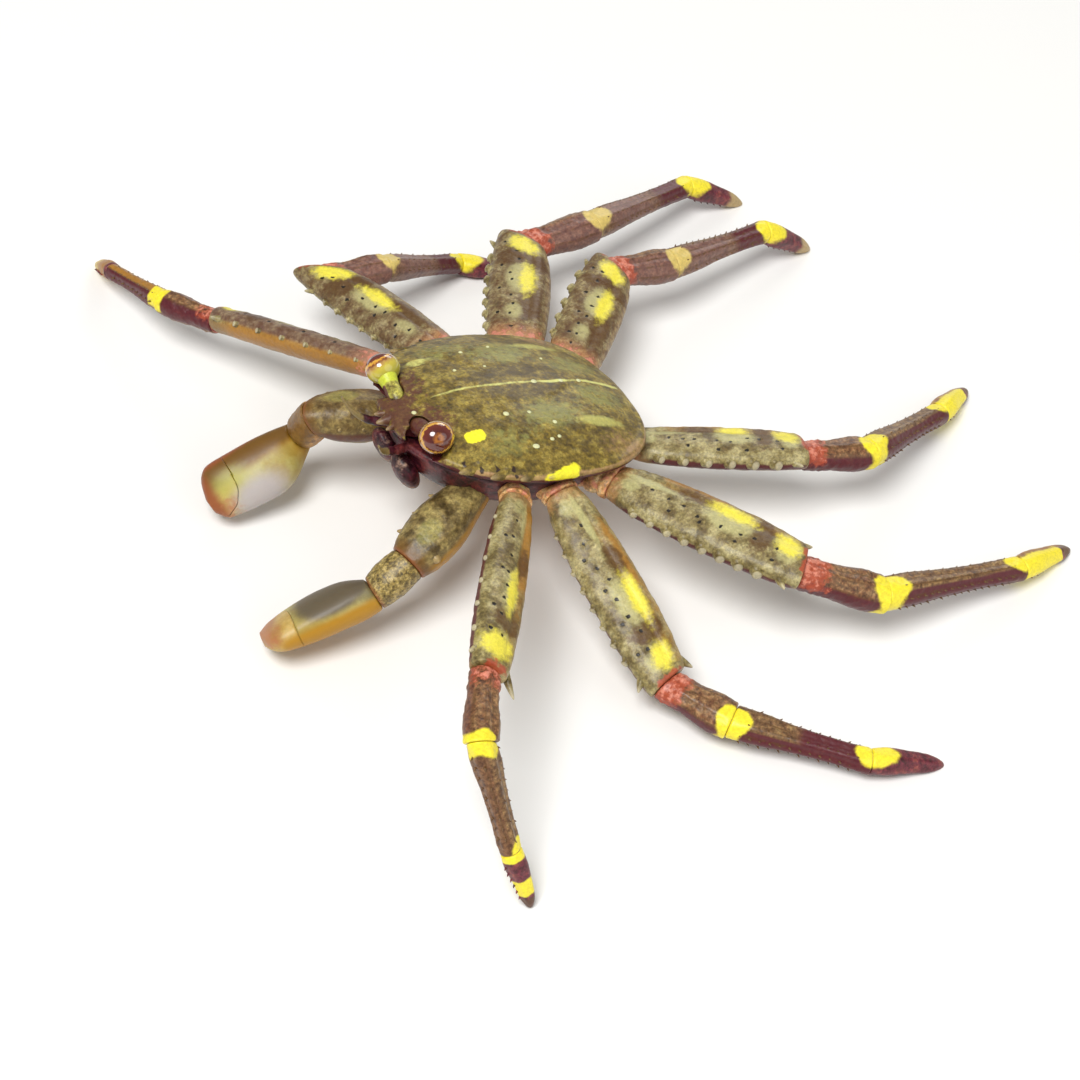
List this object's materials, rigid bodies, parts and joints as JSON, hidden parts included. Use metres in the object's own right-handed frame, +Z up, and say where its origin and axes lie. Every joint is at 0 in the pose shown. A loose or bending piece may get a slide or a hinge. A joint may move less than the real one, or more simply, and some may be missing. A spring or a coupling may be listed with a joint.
{
  "type": "nimble spray crab model",
  "caption": "Life-size still model of a nimble spray crab: flat toothed disc of a shell, eyes in notches, long flattened spiny walking legs spread low, and small claws with swollen palms.",
  "frame": {"origin": "on the ground, under the middle of the whole animal's bounding box", "axes": "+Z up; the head points along -X, so the crab's left side is at -Y"},
  "size_m": [0.095, 0.1116, 0.0219],
  "materials": {
    "shell": "semi-gloss olive shell with paler specks",
    "underside": "semi-matte wine red shell",
    "joint": "semi-matte ochre shell",
    "knee": "semi-matte coral red shell",
    "shin": "semi-gloss dark maroon shell with yellow bands",
    "foot": "semi-gloss yellow shell with dark tip",
    "palm": "polished pale violet shell",
    "eye": "polished amber"
  },
  "bodies": {
    "root": {"carapace": "shell", "thorax": "underside", "tail_flap": "underside", "eye_left": "eye", "eye_right": "eye", "eyestalk_left": "underside", "eyestalk_right": "underside", "antenna_left": "underside", "antenna_right": "underside", "maxilliped_left": "joint", "maxilliped_right": "joint", "leg2_left_base": "joint", "leg2_left_merus": "shell", "leg2_left_carpus": "knee", "leg2_left_propodus": "shin", "leg2_left_dactylus": "foot", "leg2_right_base": "joint", "leg2_right_merus": "shell", "leg2_right_carpus": "knee", "leg2_right_propodus": "shin", "leg2_right_dactylus": "foot", "leg3_left_base": "joint", "leg3_left_merus": "shell", "leg3_left_carpus": "knee", "leg3_left_propodus": "shin", "leg3_left_dactylus": "foot", "leg3_right_base": "joint", "leg3_right_merus": "shell", "leg3_right_carpus": "knee", "leg3_right_propodus": "shin", "leg3_right_dactylus": "foot", "leg4_left_base": "joint", "leg4_left_merus": "shell", "leg4_left_carpus": "knee", "leg4_left_propodus": "shin", "leg4_left_dactylus": "foot", "leg4_right_base": "joint", "leg4_right_merus": "shell", "leg4_right_carpus": "knee", "leg4_right_propodus": "shin", "leg4_right_dactylus": "foot", "leg5_left_base": "joint", "leg5_left_merus": "shell", "leg5_left_carpus": "knee", "leg5_left_propodus": "shin", "leg5_left_dactylus": "foot", "leg5_right_base": "joint", "leg5_right_merus": "shell", "leg5_right_carpus": "knee", "leg5_right_propodus": "shin", "leg5_right_dactylus": "foot", "claw_left_arm": "shell", "claw_left_wrist": "knee", "claw_left_palm": "palm", "claw_left_finger": "knee", "claw_right_arm": "shell", "claw_right_wrist": "knee", "claw_right_palm": "palm", "claw_right_finger": "knee"}
  },
  "joints": []
}
